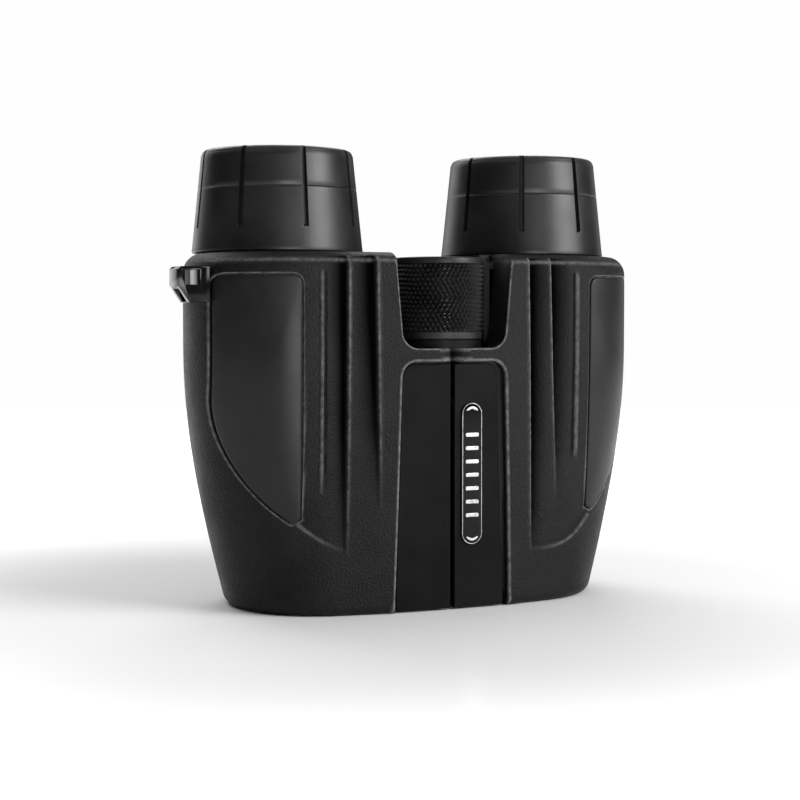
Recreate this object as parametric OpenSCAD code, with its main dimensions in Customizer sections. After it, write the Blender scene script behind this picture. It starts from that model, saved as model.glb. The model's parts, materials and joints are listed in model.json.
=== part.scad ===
// Compact reverse-Porro binoculars, standing on their objective end.
// The origin is where the hinge axis meets the surface they stand on.
// +X points to the right half, +Y to the back of the casing, +Z to the eyepieces.

/* [Casing] */
// Height of the casing without the eyecups
body_h = 85; // [80:1:90]
// Distance from the hinge to the side of the casing at the shoulder
shoulder_w = 57.7; // [57:0.1:60]
// The same distance at the foot
foot_w = 47.5; // [46:0.1:49]
// Height above which the sides stop widening
shoulder_z = 62; // [55:1:70]
// Thickness of the rubber armour
armour_t = 1.8; // [1.5:0.1:2.2]
// Wall thickness of the housing under the armour
housing_t = 1.6; // [1.2:0.1:2]

/* [Optics] */
// Distance of each eyepiece axis from the hinge plane
eye_x = 33.5; // [33:0.1:35]
// Distance of the eyepiece axes behind the hinge
eye_y = 21; // [20:0.1:22]
// Distance of each objective axis from the hinge plane
objective_x = 22; // [21.8:0.1:23]
// Distance of the objective axes behind the hinge
objective_y = 13; // [12.5:0.1:13.5]
// Diameter of the objective lenses
objective_d = 25; // [24:0.1:25.2]

/* [Eyecups] */
// Radius of an eyecup at its foot
cup_foot_r = 20.85; // [20:0.05:21.2]
// Radius of an eyecup at its rim
cup_rim_r = 18.3; // [18:0.05:19]
// Height of the rim above the surface
cup_top = 110; // [108:1:114]
// Number of slots round an eyecup
cup_slots = 8; // [6:1:10]

/* [Focus knob] */
// Radius of the knurled grip
knob_r = 11; // [10.5:0.1:11.4]
// Height of the knob's underside
knob_z = 64.5; // [64.2:0.1:65]
// Height of the knob
knob_h = 19.5; // [18:0.5:20]

/* [Hidden] */

$fn = 64;
gap = 0.05;              // clearance between pieces of one body
run = 0.04;              // radial clearance of a running fit

// Plan of one casing half: three rounds joined by straight walls.
barrel_y = 16.6;         // depth of the outer round's centre
barrel_foot_r = 23.6;
barrel_top_r = 25;
barrel_steps = 36;
corner_steps = 7;
front_corner = [4.1, -6.4, 4];       // x, y and radius, next to the seam
rear_corner = [17.3, 34, 7];         // x, y and radius, beside the fold gap
// Levels of the loft: height from the foot and how far the edge is drawn in.
levels = [[0, 1.9], [0.7, 0.7], [2.4, 0], [15, 0], [30, 0], [45, 0], [62, 0],
    [body_h - 2.7, 0], [body_h - 1.3, 1.2], [body_h, 4.5]];
housing_in = armour_t + gap;
cavity_in = housing_in + housing_t;

// Hinge and focus shaft
pin_r = 2;
pin_z = [1.3, 39.3];
foot_cap_h = 1.25;
knuckle_r = 4.2;
knuckle_clear_r = knuckle_r + 0.4;
left_knuckles = [[1.5, 13], [27, 38.5], [56, 61]];
right_knuckles = [[13.3, 26.7]];
web_y = [-3, 1];       // depth range of the webs that carry the knuckles
web_reach = 6.5;
washer_r = 10.4;
washer_foot_z = 61.1;
pocket_z = 62.5;
pocket_r = 12.2;
pocket_corner_r = 4;
pocket_low_w = 13.4;     // half width of the pocket's mouth at its floor
pocket_high_w = 15.6;    // and at the top of the casing
flange_h = 1.9;          // bottom flange of the knob
top_flange_h = 1.6;
core_r = knob_r - 1.8;
screw_z = [39.7, 71];    // ends of the focus screw
thread_z = [40, 55.2];   // and of its thread
cap_h = 1.1;
cap_drop = 0.95;         // depth of the cap's underside below the knob's top
cap_r = core_r - 1.3;

// Centre recess with its smooth panels
recess_floor_y = -7.4;
recess_top_z = 59.2;
recess_low_w = 15;
recess_high_w = 13.3;
recess_corner_r = 3.5;
panel_front_y = -8.4;
panel_foot_z = 0.4;
panel_fall = 0.5;        // how much shallower the panel is at its outer edge
seam = 0.5;              // half of the gap between the two halves

// Badge on the right centre panel
badge_x = 4.9;
badge_r = 2.8;
badge_t = 0.4;
badge_z = [18.2, 46.8];  // centres of its round ends
bar_count = 7;
bar_size = [3.4, 0.2, 0.9];
bar_foot_z = 22.6;
bar_pitch = 3.2;

// Side panels
side_inner_x = 37.7;
side_outer_x = 55.2;
side_top_z = 79.5;
side_tip_z = 21;
side_arc_z = 52;
side_arc_r = (pow(side_outer_x - side_inner_x, 2) + pow(side_arc_z - side_tip_z, 2))
    / (2 * (side_outer_x - side_inner_x));
side_panel_t = 0.9;

// Strap lug: its front and back, and its outline and window in X and Z
lug_front_y = 5;
lug_back_y = 13;
lug_inner_x = -side_outer_x - 0.45;
lug_outline = [[-63, 77.1], [-60.4, 73.2], [lug_inner_x, 73.2], [lug_inner_x, 81.5], [-62.4, 81.5],
    [-63, 80.9]];
lug_window = [[-61.5, 77.3], [-58, 77.3], [-58, 80.7], [-61.5, 80.7]];

// Objective tube
lens_r = objective_d / 2;
cell_r = lens_r + 0.8;
sleeve_bore_r = cell_r + gap;
sleeve_r = sleeve_bore_r + 1.4;
sleeve_top = 28;
cell_z = [5, 22];
bezel_r = 15.5;
bezel_bore_r = 13;
bezel_h = 1.6;

// Porro prisms: each shifts the beam by the same step, at right angles
shift = norm([eye_x - objective_x, eye_y - objective_y]) / sqrt(2);
shift_angle = atan2(eye_y - objective_y, eye_x - objective_x);
upper_angle = shift_angle + 45;
lower_angle = shift_angle - 45;
prism_w = 11;
plate_z = 54;
plate_t = 1.6;
prism_gap = 0.1;
plate_outline = [[15.5, 0.5], [45, 0.5], [50, 8], [50, 26], [43, 34], [15.5, 34]];
plate_windows = [[objective_x, objective_y], [eye_x, eye_y],
    [objective_x, objective_y] + shift * [cos(upper_angle), sin(upper_angle)]];
window_r = 4.6;
clip_t = 0.8;
clip_w = 3.2;

// Lenses: height of the rim's lower edge, rim thickness, lower and upper bulge
crown_shape = [8.6, 1.6, 1.5, 1.2];
flint_shape = [10.3, 2.6, -1.25, 0.2];
field_shape = [72.8, 2.2, 0.9, 1.3];
eye_shape = [94.5, 2.5, 1.5, 1.6];
cell_stop_r = 10.4;
lens_ring_w = 1.1;
lens_ring_z = [6.2, 8.3];

// Casing screws
screw_places = [[38.5, 9.5], [34.5, 27], [20.5, 30.2]];
screw_head_r = 1.9;
screw_head_h = 1.3;
screw_r = 1;
screw_l = 7;
driver_slot = [2.4, 0.5, 0.5];

// Eyepiece
ocular_r = 13.4;
ocular_bore_r = 12;
ocular_z = [69, 103];
seat_r = 14.6;           // rigid ring under the eyecup
seat_h = 10.7;
field_stop_r = 9;
eye_ring_r = 9.5;        // opening of the ring that holds the eye lens
eye_ring_z = [97.7, 102.5];
cup_bore_r = 15.6;
cap_seat_z = 104;        // step in the bore where a plug-in cap stops
slot_w = 1.1;
slot_depth = 1;
slot_foot_z = 91;
right_cup_turn = -27.6;  // how far the right eyecup is turned in the pose at rest

// Focus carriages
hub_z = 44;
hub_h = 3;
arm_h = 2.6;
arm_w = 4;
collar_r = 3.1;
ring_r = 4.2;
rod_r = 1.1;
rod_reach = norm([objective_x, objective_y]) - 11.7;
rod_angle = atan2(objective_y, objective_x);
travel = 2.5;

module on_side(s) {
    if (s > 0) children();
    else mirror([1, 0, 0]) children();
}

function side_w(z) = foot_w + (shoulder_w - foot_w) * sin(90 * min(z / shoulder_z, 1));
function barrel_r(z) = barrel_foot_r + (barrel_top_r - barrel_foot_r) * min(z / shoulder_z, 1);

// Angle of the outward normal where a straight wall leaves round a for round b.
function wall_angle(a, b) = atan2(b.y - a.y, b.x - a.x)
    - acos((a[2] - b[2]) / norm([b.x - a.x, b.y - a.y]));

function arc(c, a0, a1, n, z) = [for (i = [0 : n]) let (a = a0 + (a1 - a0) * i / n)
    [c.x + c[2] * cos(a), c.y + c[2] * sin(a), z]];

// Plan of the half at one level, anticlockwise from the front, drawn in by inset.
function plan(level_z, z, inset) = let (
        r = barrel_r(level_z),
        barrel = [side_w(level_z) - r, barrel_y, r - inset],
        rear = [rear_corner.x, rear_corner.y, max(rear_corner[2] - inset, 0.3)],
        front = [front_corner.x, front_corner.y, max(front_corner[2] - inset, 0.3)],
        a = wall_angle(front, barrel),
        b = wall_angle(barrel, rear),
        c = wall_angle(rear, front) + 360)
    concat(arc(barrel, a, b, barrel_steps, z), arc(rear, b, c, corner_steps, z),
        arc(front, c, a + 360, corner_steps, z));

// One casing half, lofted through the levels and drawn in by t all round.
module half_block(t) {
    rows = len(levels);
    cols = barrel_steps + 2 * corner_steps + 3;
    points = [for (level = levels)
        each plan(level[0], t + level[0] * (body_h - 2 * t) / body_h, level[1] + t)];
    sides = [for (i = [0 : rows - 2], j = [0 : cols - 1]) let (
            p = i * cols + j,
            q = i * cols + (j + 1) % cols)
        each [[p, p + cols, q], [q, p + cols, q + cols]]];
    foot = [for (j = [0 : cols - 1]) j];
    top = [for (j = [cols - 1 : -1 : 0]) (rows - 1) * cols + j];
    polyhedron(points = points, faces = concat([foot, top], sides), convexity = 4);
}

// Room for the focus knob, with a finger mouth at the front; g makes it larger.
module pocket(g) {
    translate([0, 0, pocket_z - g]) cylinder(r = pocket_r + g, h = 30);
    hull() for (x = [-1, 1]) {
        translate([x * (pocket_low_w - pocket_corner_r), 0, pocket_z + pocket_corner_r])
            rotate([90, 0, 0]) cylinder(r = pocket_corner_r + g, h = 20, $fn = 32);
        translate([x * (pocket_high_w - 1), 0, body_h + 6])
            rotate([90, 0, 0]) cylinder(r = 1 + g, h = 20, $fn = 32);
    }
}

// Outline of the centre recess, as a block that runs through the front skin.
module recess_block(back_y, g) {
    hull() {
        for (x = [-1, 1])
            translate([x * (recess_high_w - recess_corner_r), back_y, recess_top_z - recess_corner_r])
                rotate([90, 0, 0]) cylinder(r = recess_corner_r + g, h = 20, $fn = 32);
        translate([-recess_low_w - g, back_y - 20, -1]) cube([2 * (recess_low_w + g), 20, 1]);
    }
}

// Outline of the side panel, as a block in front of the barrel's centre.
module side_block(g) {
    intersection() {
        translate([side_inner_x - g, -20, side_tip_z - g])
            cube([side_outer_x - side_inner_x + 2 * g, 20 + barrel_y, side_top_z - side_tip_z + 2 * g]);
        union() {
            translate([0, -20, side_arc_z]) cube([80, 60, 60]);
            translate([side_outer_x - side_arc_r, 40, side_arc_z])
                rotate([90, 0, 0]) cylinder(r = side_arc_r + g, h = 60, $fn = 96);
        }
    }
}

module tube(r_out, r_in, z0, z1) {
    difference() {
        translate([0, 0, z0]) cylinder(r = r_out, h = z1 - z0);
        translate([0, 0, z0 - 1]) cylinder(r = r_in, h = z1 - z0 + 2);
    }
}

module at_objective() { translate([objective_x, objective_y, 0]) children(); }
module at_eye() { translate([eye_x, eye_y, 0]) children(); }

// Slot in the wall beside the hinge, through which a focus arm reaches its lens cell.
module arm_window() {
    rotate([0, 0, rod_angle]) translate([0, -arm_w / 2 - 0.6, hub_z - travel - 1])
        cube([14, arm_w + 1.2, 2 * hub_h + 2 * travel + 2]);
}

module armour() {
    color([0.11, 0.11, 0.115]) difference() {
        half_block(0);
        half_block(armour_t);
        pocket(0);
        recess_block(0, 0);
        difference() {
            side_block(0.1);
            half_block(side_panel_t + 0.1);
        }
        translate([0, 0, -1]) cylinder(r = knuckle_clear_r, h = pocket_z + 2);
        arm_window();
        at_objective() translate([0, 0, -1]) cylinder(r = bezel_r + gap, h = 5);
        at_eye() translate([0, 0, body_h - 5]) cylinder(r = seat_r + 1.5, h = 10);
    }
}

module housing(s) {
    own = s < 0 ? left_knuckles : right_knuckles;
    color([0.07, 0.07, 0.075]) difference() {
        union() {
            difference() {
                half_block(housing_in);
                difference() {
                    half_block(cavity_in);
                    pocket(housing_t);
                    translate([-1, -20, 0]) cube([20, 20 + recess_floor_y + housing_t, recess_top_z + 2]);
                }
                translate([0, 0, -1]) cylinder(r = knuckle_clear_r, h = pocket_z + 2);
                arm_window();
                recess_block(recess_floor_y, gap);
            }
            at_objective() tube(sleeve_r, sleeve_bore_r, 2.4, sleeve_top);
            for (k = own) {
                translate([0, 0, k[0]]) cylinder(r = knuckle_r, h = k[1] - k[0]);
                translate([0, web_y[0], k[0]]) cube([web_reach, web_y[1] - web_y[0], k[1] - k[0]]);
            }
        }
        pocket(0);
        translate([0, 0, -1]) cylinder(r = pin_r + run, h = pocket_z + 2);
        at_objective() translate([0, 0, -1]) cylinder(r = sleeve_bore_r, h = sleeve_top + 1);
        at_eye() translate([0, 0, body_h - 8]) cylinder(r = ocular_r + run, h = 10);
    }
}

module side_panel() {
    color([0.2, 0.2, 0.21]) intersection() {
        difference() {
            half_block(0.05);
            half_block(side_panel_t);
        }
        side_block(0);
    }
}

// The panel is a shallow ridge: highest beside the seam.
module centre_panel() {
    color([0.06, 0.06, 0.065]) intersection() {
        translate([0, 0, panel_foot_z]) linear_extrude(height = recess_top_z)
            polygon([[seam, recess_floor_y - gap], [seam, panel_front_y],
                [recess_low_w, panel_front_y + panel_fall], [recess_low_w, recess_floor_y - gap]]);
        recess_block(0, -gap);
    }
}

module objective_bezel() {
    color([0.05, 0.05, 0.05]) at_objective() difference() {
        translate([0, 0, 0.2]) cylinder(r = bezel_r, h = bezel_h);
        cylinder(r = bezel_bore_r, h = 5);
    }
}

module prism_plate() {
    color([0.35, 0.35, 0.37]) translate([0, 0, plate_z]) linear_extrude(height = plate_t)
        difference() {
            polygon(plate_outline);
            for (p = plate_windows) translate([p.x, p.y]) circle(r = window_r);
        }
}

// Right-angle prism: its long face is level, z is that face, up is the side of its ridge.
module prism(x, y, angle, z, up) {
    translate([x, y, z]) rotate([0, 0, angle]) rotate([90, 0, 0])
        translate([0, 0, -prism_w / 2]) linear_extrude(height = prism_w)
            polygon([[-shift, 0], [shift, 0], [1, up * (shift - 1)], [-1, up * (shift - 1)]]);
}

module upper_prism() {
    color([0.75, 0.85, 0.9]) prism(objective_x + shift / 2 * cos(upper_angle),
        objective_y + shift / 2 * sin(upper_angle), upper_angle, plate_z + plate_t + prism_gap, 1);
}

module lower_prism() {
    color([0.75, 0.85, 0.9]) prism(
        objective_x + shift * cos(upper_angle) + shift / 2 * cos(lower_angle),
        objective_y + shift * sin(upper_angle) + shift / 2 * sin(lower_angle),
        lower_angle, plate_z - prism_gap, -1);
}

// Sprung strap over a prism's ridge, with two legs down to the plate.
module prism_clip(x, y, angle, z, up) {
    leg = shift - 0.9 + clip_t;
    color([0.7, 0.7, 0.72]) translate([x, y, z]) rotate([0, 0, angle])
        for (part = [[-prism_w / 2 - clip_t - 0.1, leg - clip_t, prism_w + 2 * clip_t + 0.2, clip_t],
                [-prism_w / 2 - clip_t - 0.1, 0, clip_t, leg],
                [prism_w / 2 + 0.1, 0, clip_t, leg]])
            translate([-clip_w / 2, part[0], up > 0 ? part[1] : -part[1] - part[3]])
                cube([clip_w, part[2], part[3]]);
}

module upper_prism_clip() {
    prism_clip(objective_x + shift / 2 * cos(upper_angle),
        objective_y + shift / 2 * sin(upper_angle), upper_angle, plate_z + plate_t + gap, 1);
}

module lower_prism_clip() {
    prism_clip(objective_x + shift * cos(upper_angle) + shift / 2 * cos(lower_angle),
        objective_y + shift * sin(upper_angle) + shift / 2 * sin(lower_angle),
        lower_angle, plate_z - gap, -1);
}

module ocular_barrel() {
    color([0.08, 0.08, 0.08]) at_eye() difference() {
        translate([0, 0, ocular_z[0]]) cylinder(r = ocular_r, h = ocular_z[1] - ocular_z[0]);
        translate([0, 0, ocular_z[0] - 1]) cylinder(r = field_stop_r, h = 4);
        translate([0, 0, ocular_z[0] + 2]) cylinder(r = ocular_bore_r, h = 50);
    }
}

// A lens is a disc with curved faces; a negative bulge hollows the face.
module lens(r, shape) {
    steps = 8;
    z = shape[0];
    function bulge(sag, t) = sag * (1 - t * t);
    color([0.6, 0.75, 0.85]) rotate_extrude()
        polygon(concat(
            [for (i = [0 : steps]) [r * i / steps, z - bulge(shape[2], i / steps)]],
            [for (i = [steps : -1 : 0]) [r * i / steps, z + shape[1] + bulge(shape[3], i / steps)]]));
}

module field_lens() { at_eye() lens(ocular_bore_r - gap, field_shape); }
module eye_lens() { at_eye() lens(ocular_bore_r - gap, eye_shape); }

module eye_lens_ring() {
    color([0.1, 0.1, 0.1]) at_eye() tube(ocular_bore_r - gap, eye_ring_r, eye_ring_z[0], eye_ring_z[1]);
}

module eyecup_base() {
    color([0.08, 0.08, 0.08]) at_eye() difference() {
        union() {
            translate([0, 0, body_h - armour_t]) cylinder(r = seat_r, h = seat_h);
            translate([0, 0, body_h + 0.1]) cylinder(r = seat_r + 2.4, h = 1.4);
        }
        translate([0, 0, body_h - 5]) cylinder(r = ocular_r + gap, h = 20);
    }
}

module eyecup(turn) {
    foot = body_h + 0.15;
    color([0.13, 0.13, 0.135]) at_eye() rotate([0, 0, turn]) difference() {
        rotate_extrude($fn = 96) polygon([
            [seat_r + 2.5, foot], [cup_foot_r - 0.4, foot], [cup_foot_r, foot + 0.5],
            [cup_foot_r - 0.3, foot + 3], [cup_rim_r + 0.2, cup_top - 1.2], [cup_rim_r - 0.2, cup_top - 0.4],
            [cup_rim_r - 1, cup_top], [cup_bore_r + 0.5, cup_top], [cup_bore_r, cup_top - 0.6],
            [cup_bore_r, cap_seat_z], [cup_bore_r - 0.4, cap_seat_z - 0.1], [cup_bore_r - 0.4, 96],
            [seat_r + gap, 95.5], [seat_r + gap, foot + 1.5], [seat_r + 2.5, foot + 1.5]]);
        for (i = [0 : cup_slots - 1]) rotate([0, 0, -90 + i * 360 / cup_slots])
            translate([cup_rim_r - slot_depth, -slot_w / 2, slot_foot_z]) rotate([0, -4.5, 0])
                cube([4, slot_w, 30]);
    }
}

// Casing screws in the housing's floor, round the objective tube.
module casing_screws() {
    color([0.5, 0.5, 0.5]) for (p = screw_places)
        translate([p.x, p.y, cavity_in + gap]) difference() {
            union() {
                cylinder(r = screw_head_r, h = screw_head_h);
                cylinder(r = screw_r, h = screw_l);
            }
            cube([driver_slot.x, driver_slot.y, 2 * driver_slot.z], center = true);
        }
}

module objective_cell() {
    color([0.09, 0.09, 0.09]) at_objective() difference() {
        translate([0, 0, cell_z[0]]) cylinder(r = cell_r, h = cell_z[1] - cell_z[0]);
        translate([0, 0, cell_z[0] - 1]) cylinder(r = lens_r, h = cell_z[1] - cell_z[0] - 1.2);
        translate([0, 0, cell_z[0]]) cylinder(r = cell_stop_r, h = 30);
    }
}

module crown_lens() { at_objective() lens(lens_r - gap, crown_shape); }
module flint_lens() { at_objective() lens(lens_r - gap, flint_shape); }

module objective_ring() {
    color([0.1, 0.1, 0.1]) at_objective() tube(lens_r - gap, lens_r - lens_ring_w, lens_ring_z[0],
        lens_ring_z[1]);
}

// Arm and push rod that carry a lens cell; the left one also holds the nut.
module focus_arm(s) {
    z = s < 0 ? hub_z : hub_z + hub_h + gap;
    color([0.62, 0.62, 0.64]) difference() {
        union() {
            translate([0, 0, z]) cylinder(r = ring_r, h = arm_h);
            if (s < 0) translate([0, 0, z]) cylinder(r = collar_r, h = 2 * hub_h);
            rotate([0, 0, rod_angle]) translate([0, -arm_w / 2, z])
                cube([rod_reach + 2, arm_w, arm_h]);
            rotate([0, 0, rod_angle]) translate([rod_reach, 0, cell_z[1]])
                cylinder(r = rod_r, h = z - cell_z[1] + arm_h);
        }
        translate([0, 0, z - 1]) cylinder(r = s < 0 ? pin_r + run : collar_r + run, h = 3 * hub_h);
    }
}

module hinge_pin() {
    color([0.75, 0.75, 0.77]) translate([0, 0, pin_z[0]]) cylinder(r = pin_r, h = pin_z[1] - pin_z[0]);
}

module hinge_foot_cap() {
    color([0.12, 0.12, 0.12]) cylinder(r = knuckle_r - 0.2, h = foot_cap_h);
}

// Shouldered washer: its narrow foot stands in the hinge bore.
module thrust_washer() {
    color([0.08, 0.08, 0.08]) difference() {
        union() {
            translate([0, 0, washer_foot_z]) cylinder(r = knuckle_r, h = 2);
            translate([0, 0, pocket_z + gap]) cylinder(r = washer_r, h = knob_z - 0.15 - pocket_z - gap);
        }
        translate([0, 0, washer_foot_z - 1]) cylinder(r = pin_r + run, h = 10);
    }
}

// Focus screw: rings stand for its fast multi-start thread.
module focus_screw() {
    rings = [for (i = [0 : 14], p = [[pin_r, 0], [pin_r - 0.25, 0.5]]) [p[0], thread_z[0] + i + p[1]]];
    color([0.78, 0.78, 0.8]) rotate_extrude()
        polygon(concat([[0, screw_z[0]], [pin_r - 0.3, screw_z[0]]], rings,
            [[pin_r, thread_z[1]], [pin_r, screw_z[1]], [0, screw_z[1]]]));
}

module focus_knob_core() {
    color([0.06, 0.06, 0.06]) translate([0, 0, knob_z]) difference() {
        union() {
            cylinder(r = core_r, h = knob_h);
            cylinder(r = knob_r - 0.4, h = flange_h);
            translate([0, 0, knob_h - top_flange_h]) cylinder(r = knob_r - 0.3, h = top_flange_h);
        }
        translate([0, 0, -1]) cylinder(r = pin_r + 0.01, h = 7.6);
        translate([0, 0, knob_h - 1]) cylinder(r = cap_r + 0.1, h = 2);
    }
}

module focus_knob_grip() {
    color([0.1, 0.1, 0.1]) tube(knob_r, core_r + gap, knob_z + flange_h + gap,
        knob_z + knob_h - top_flange_h - gap);
}

module focus_knob_cap() {
    color([0.15, 0.15, 0.15]) translate([0, 0, knob_z + knob_h - cap_drop]) cylinder(r = cap_r, h = cap_h);
}

// Loop for the wrist strap, on the left shoulder.
module strap_lug() {
    color([0.05, 0.05, 0.05]) difference() {
        upright(lug_outline, lug_front_y, lug_back_y);
        upright(lug_window, lug_front_y - 1, lug_back_y + 1);
        mirror([1, 0, 0]) half_block(-0.02);
    }
}

// A straight block over an outline in X and Z.
module upright(outline, low_y, high_y) {
    translate([0, high_y, 0]) rotate([90, 0, 0]) linear_extrude(high_y - low_y) polygon(outline);
}

module badge_plate() {
    color([0.03, 0.03, 0.03]) hull() for (z = badge_z)
        translate([badge_x, panel_front_y - gap, z])
            rotate([90, 0, 0]) cylinder(r = badge_r, h = badge_t, $fn = 32);
}

// A row of plain bars fills the badge.
module badge_bars() {
    color([0.8, 0.8, 0.8]) for (i = [0 : bar_count - 1])
        translate([badge_x - bar_size.x / 2, panel_front_y - badge_t - 2 * gap - bar_size.y,
            bar_foot_z + bar_pitch * i]) cube(bar_size);
}

module draw(name) {
    children();
}

for (s = [-1, 1]) {
    name = s < 0 ? "left_" : "right_";
    draw(str(name, "armour")) on_side(s) armour();
    draw(str(name, "housing")) on_side(s) housing(s);
    draw(str(name, "side_panel")) on_side(s) side_panel();
    draw(str(name, "centre_panel")) on_side(s) centre_panel();
    draw(str(name, "objective_bezel")) on_side(s) objective_bezel();
    draw(str(name, "prism_plate")) on_side(s) prism_plate();
    draw(str(name, "upper_prism")) on_side(s) upper_prism();
    draw(str(name, "lower_prism")) on_side(s) lower_prism();
    draw(str(name, "upper_prism_clip")) on_side(s) upper_prism_clip();
    draw(str(name, "lower_prism_clip")) on_side(s) lower_prism_clip();
    draw(str(name, "ocular_barrel")) on_side(s) ocular_barrel();
    draw(str(name, "field_lens")) on_side(s) field_lens();
    draw(str(name, "eye_lens")) on_side(s) eye_lens();
    draw(str(name, "eye_lens_ring")) on_side(s) eye_lens_ring();
    draw(str(name, "eyecup")) on_side(s) eyecup(s < 0 ? 0 : right_cup_turn);
    draw(str(name, "eyecup_base")) on_side(s) eyecup_base();
    draw(str(name, "casing_screws")) on_side(s) casing_screws();
    draw(str(name, "objective_cell")) on_side(s) objective_cell();
    draw(str(name, "crown_lens")) on_side(s) crown_lens();
    draw(str(name, "flint_lens")) on_side(s) flint_lens();
    draw(str(name, "objective_ring")) on_side(s) objective_ring();
    draw(str(name, "focus_arm")) on_side(s) focus_arm(s);
}
hinge_pin();
hinge_foot_cap();
thrust_washer();
focus_screw();
focus_knob_core();
focus_knob_grip();
focus_knob_cap();
strap_lug();
badge_plate();
badge_bars();
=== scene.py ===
import json
import math

import bpy
import numpy as np
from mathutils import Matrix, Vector


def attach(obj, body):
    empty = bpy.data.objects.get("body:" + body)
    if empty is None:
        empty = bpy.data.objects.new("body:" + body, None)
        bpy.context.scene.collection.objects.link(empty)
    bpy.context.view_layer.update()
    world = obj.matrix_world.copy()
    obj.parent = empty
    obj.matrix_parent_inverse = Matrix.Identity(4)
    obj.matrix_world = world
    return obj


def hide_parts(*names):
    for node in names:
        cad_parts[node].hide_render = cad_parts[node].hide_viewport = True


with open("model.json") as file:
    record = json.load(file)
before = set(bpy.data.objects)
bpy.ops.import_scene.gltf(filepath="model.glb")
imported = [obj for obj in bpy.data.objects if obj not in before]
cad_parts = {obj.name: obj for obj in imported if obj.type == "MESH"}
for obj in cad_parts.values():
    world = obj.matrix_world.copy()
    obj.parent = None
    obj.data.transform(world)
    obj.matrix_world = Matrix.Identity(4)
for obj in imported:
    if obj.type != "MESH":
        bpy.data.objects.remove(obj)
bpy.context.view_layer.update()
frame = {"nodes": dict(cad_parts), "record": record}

# Lengths are in millimetres until a mesh is made.
MM = 0.001
SIDES = ("left", "right")

# Casing
BODY_H = 85
SHOULDER_W, FOOT_W, SHOULDER_Z = 57.7, 47.5, 62
BARREL_Y, BARREL_FOOT_R, BARREL_TOP_R = 16.6, 23.6, 25
FRONT_CORNER = (4.1, -6.4, 4)
REAR_CORNER = (17.3, 34, 7)
ARMOUR_T = 1.8
OPEN_END, CUT_OVER = 10, 1
FOOT_ROUND_H, FOOT_ROUND_IN = 2.4, 1.9
TOP_ROUND_IN = 4.5
LEAST_R = 0.3
FRONT_END = math.radians(-30)

# Hinge, pocket and centre recess
KNUCKLE_CLEAR_R = 4.6
POCKET_Z, POCKET_R, POCKET_CORNER_R = 62.5, 12.2, 4
POCKET_LOW_W, POCKET_HIGH_W = 13.4, 15.6
POCKET_ROUND, RECESS_ROUND, SIDE_ROUND = 0.5, 0.9, 0.35
RECESS_TOP_Z, RECESS_CORNER_R = 59.2, 3.5
RECESS_LOW_W, RECESS_HIGH_W = 15, 13.3
RECESS_LEAN = 1.7
PANEL_FRONT_Y, PANEL_FALL = -8.4, 0.5
SEAM = 0.5

# Side panels
SIDE_INNER_X, SIDE_OUTER_X = 37.7, 55.2
SIDE_TOP_Z, SIDE_TIP_Z, SIDE_ARC_Z = 79.5, 21, 52
SIDE_GAP = 0.35

# Optics
EYE_X, EYE_Y = 33.5, 21
OBJECTIVE_X, OBJECTIVE_Y = 22, 13
BEZEL_HOLE_R, BEZEL_HOLE_TOP_Z = 15.6, 4
SEAT_HOLE_R = 16.1
ARM_SLOT_W, ARM_SLOT_REACH, ARM_SLOT_Z = 5.2, 14, (40.5, 54)

# Eyecups
CUP_FOOT_Z, CUP_TOP_Z, CUP_PARTING_Z = 85.15, 110, 100.5
CUP_FOOT_R, CUP_RIM_R, CUP_BORE_R = 20.85, 18.3, 15.6
CUP_SEAT_R = 14.7
SLOTS, SLOT_W, SLOT_DEPTH, SLOT_FOOT_Z = 8, 1.1, 1.0, 91
RIGHT_CUP_TURN = math.radians(-27.6)

# Focus knob
KNOB_Z, KNOB_H, KNOB_R = 64.5, 19.5, 11
FLANGE_H, TOP_FLANGE_H = 1.9, 1.6
CORE_R, SCREW_HOLE_R = 9.2, 2.02


# Meshes

def mesh_object(name, points, faces, mirror=False):
    """An object from points in millimetres; mirror turns a right-hand shape into a left-hand one."""
    points = np.array(points, dtype=float) * MM
    if mirror:
        points[:, 0] *= -1
        faces = [tuple(reversed(face)) for face in faces]
    mesh = bpy.data.meshes.new(name)
    mesh.from_pydata(points.tolist(), [], faces)
    mesh.validate()
    piece = bpy.data.objects.new(name, mesh)
    bpy.context.scene.collection.objects.link(piece)
    return piece


def loft(rings, caps=True):
    """Points and faces of a tube through closed rings of equal length; caps close its ends."""
    count = len(rings[0])
    points = np.concatenate([np.asarray(ring, dtype=float) for ring in rings])
    faces = []
    for i in range(len(rings) - 1):
        for j in range(count):
            a = i * count + j
            b = i * count + (j + 1) % count
            faces.append((a, b, b + count, a + count))
    if caps:
        first = (len(rings) - 1) * count
        faces.append(tuple(reversed(range(count))))
        faces.append(tuple(range(first, first + count)))
    return points, faces


def apply_modifiers(piece):
    """Gives the piece the mesh that its modifiers make."""
    graph = bpy.context.evaluated_depsgraph_get()
    result = bpy.data.meshes.new_from_object(piece.evaluated_get(graph))
    old = piece.data
    piece.modifiers.clear()
    piece.data = result
    result.name = piece.name
    bpy.data.meshes.remove(old)


def carve(piece, cutters):
    """Cuts every cutter out of the piece and deletes the cutters."""
    for cutter in cutters:
        modifier = piece.modifiers.new("cut", "BOOLEAN")
        modifier.operation = "DIFFERENCE"
        modifier.solver = "MANIFOLD"
        modifier.object = cutter
    apply_modifiers(piece)
    for cutter in cutters:
        bpy.data.objects.remove(cutter)


def smooth(piece, sharp=32):
    """Smooth shading, with edges kept where the surface turns by more than sharp degrees."""
    mesh = piece.data
    mesh.shade_smooth()
    mesh.set_sharp_from_angle(angle=math.radians(sharp))


def circle(x, y, r, z, count=96):
    return [(x + r * math.cos(2 * math.pi * i / count), y + r * math.sin(2 * math.pi * i / count), z)
            for i in range(count)]


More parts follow.
